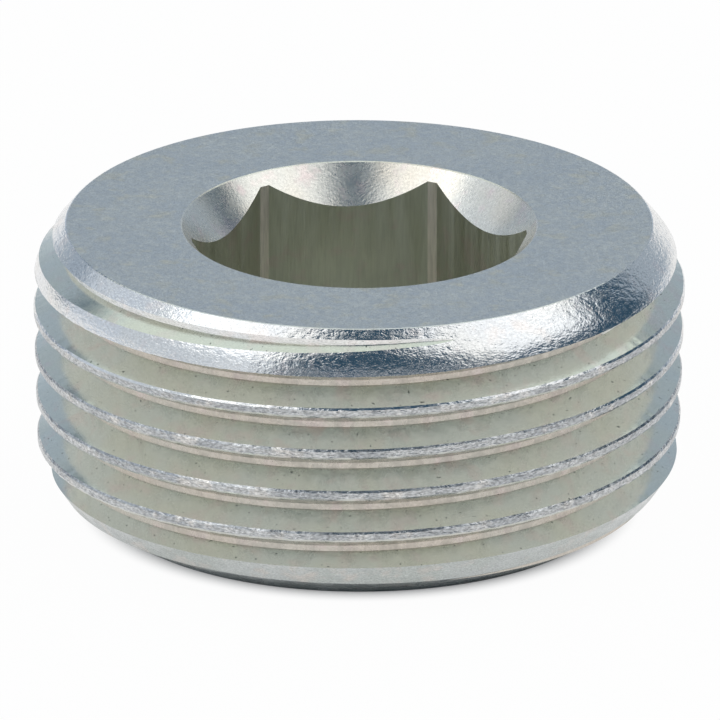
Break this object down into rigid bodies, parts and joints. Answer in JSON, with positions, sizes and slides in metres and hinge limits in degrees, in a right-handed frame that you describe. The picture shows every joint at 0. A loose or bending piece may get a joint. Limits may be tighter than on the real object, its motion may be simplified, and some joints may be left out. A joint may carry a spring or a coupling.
{
  "type": "hex socket plug",
  "caption": "Flush pipe plug with a tapered outside thread, a chamfered end and a hexagon socket in its larger end face.",
  "frame": {"origin": "centre of the small end, the face that the plug stands on", "axes": "+Z along the thread's axis from the small end to the large end with the hexagon socket, +X through one corner of the hexagon"},
  "size_m": [0.0264, 0.0264, 0.012],
  "materials": {
    "zinc_plated_steel": "zinc plated steel with a clear blue passivation, matt on the end face and bright on the chamfer"
  },
  "bodies": {
    "root": {"plug": "zinc_plated_steel"}
  },
  "joints": []
}
